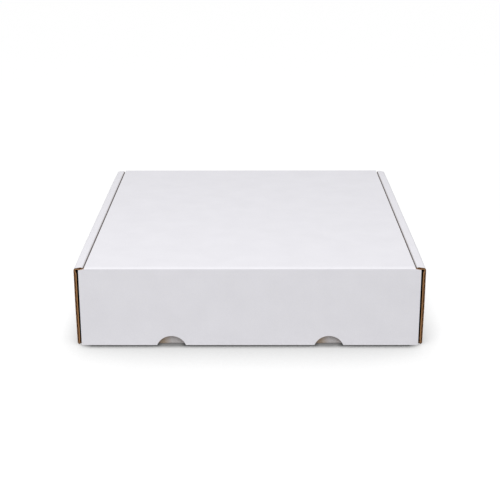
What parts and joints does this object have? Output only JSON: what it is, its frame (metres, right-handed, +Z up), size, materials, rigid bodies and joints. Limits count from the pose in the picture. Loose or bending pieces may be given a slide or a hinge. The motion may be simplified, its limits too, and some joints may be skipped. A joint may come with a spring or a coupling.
{
  "type": "folding box",
  "caption": "Flat white folding mailing box of corrugated board, with roll-over side walls, a hinged lid and a front flap with half-moon finger notches.",
  "frame": {"origin": "on the table, under the middle of the closed box", "axes": "+Z up, -Y towards the front flap, +X to the right seen from the front"},
  "size_m": [0.3194, 0.3584, 0.0753],
  "materials": {
    "white_board": "uncoated white paper liner outside, brown kraft paper inside and at the cut edges"
  },
  "bodies": {
    "tray": {"tray": "white_board"},
    "lid": {"lid": "white_board"},
    "front_flap": {"front_flap": "white_board"}
  },
  "joints": [
    {"name": "lid_hinge", "type": "hinge", "parent": "tray", "child": "lid", "pos_m": [0, 0.17785, 0.07355], "axis": [-1, 0, 0], "range_deg": [0, 180]},
    {"name": "front_flap_hinge", "type": "hinge", "parent": "lid", "child": "front_flap", "pos_m": [0, -0.17785, 0.07355], "axis": [-1, 0, 0], "range_deg": [0, 90]}
  ]
}
